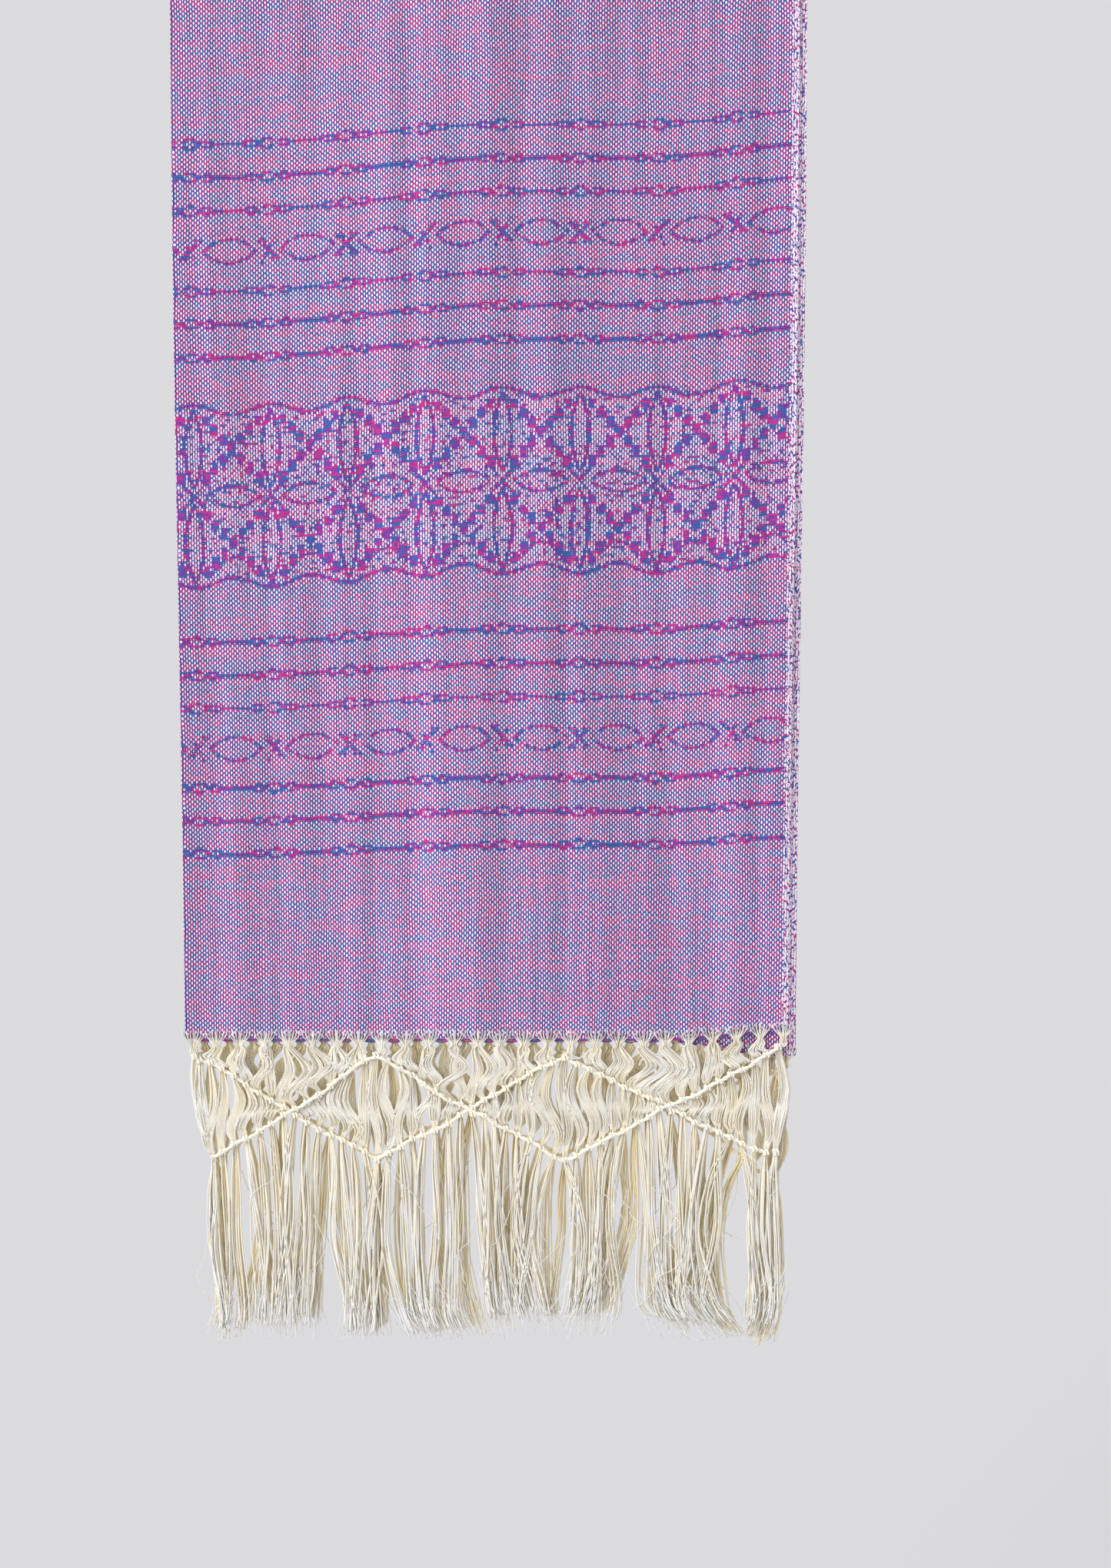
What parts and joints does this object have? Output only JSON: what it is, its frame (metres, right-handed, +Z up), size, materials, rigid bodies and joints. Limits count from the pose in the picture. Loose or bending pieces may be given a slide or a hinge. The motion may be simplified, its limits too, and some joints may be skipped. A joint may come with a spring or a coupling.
{
  "type": "rebozo shawl folded lengthwise on a hanging rod",
  "caption": "Woven cotton rebozo shawl folded in half lengthwise and hung over a round wooden rod, with a long knotted fringe at both ends.",
  "frame": {"origin": "middle of the rod's axis, where the shawl hangs", "axes": "+Z up, +X along the rod from the lengthwise fold towards the two selvages, -Y out of the long front drop"},
  "size_m": [0.5, 0.0446, 1.419],
  "materials": {
    "cloth": "matt plain-woven cotton, white warp and magenta and blue weft",
    "fringe": "matt cream cotton yarn",
    "rod": "oiled, satin"
  },
  "bodies": {
    "root": {"rod": "rod", "cloth_over_rod": "cloth", "cloth_front": "cloth", "cloth_back": "cloth", "fringe_front_upper": "fringe", "fringe_front_under": "fringe", "fringe_back_upper": "fringe", "fringe_back_under": "fringe", "net_front_upper_1": "fringe", "net_front_upper_2": "fringe", "net_front_under_1": "fringe", "net_front_under_2": "fringe", "net_back_upper_1": "fringe", "net_back_upper_2": "fringe", "net_back_under_1": "fringe", "net_back_under_2": "fringe"}
  },
  "joints": []
}
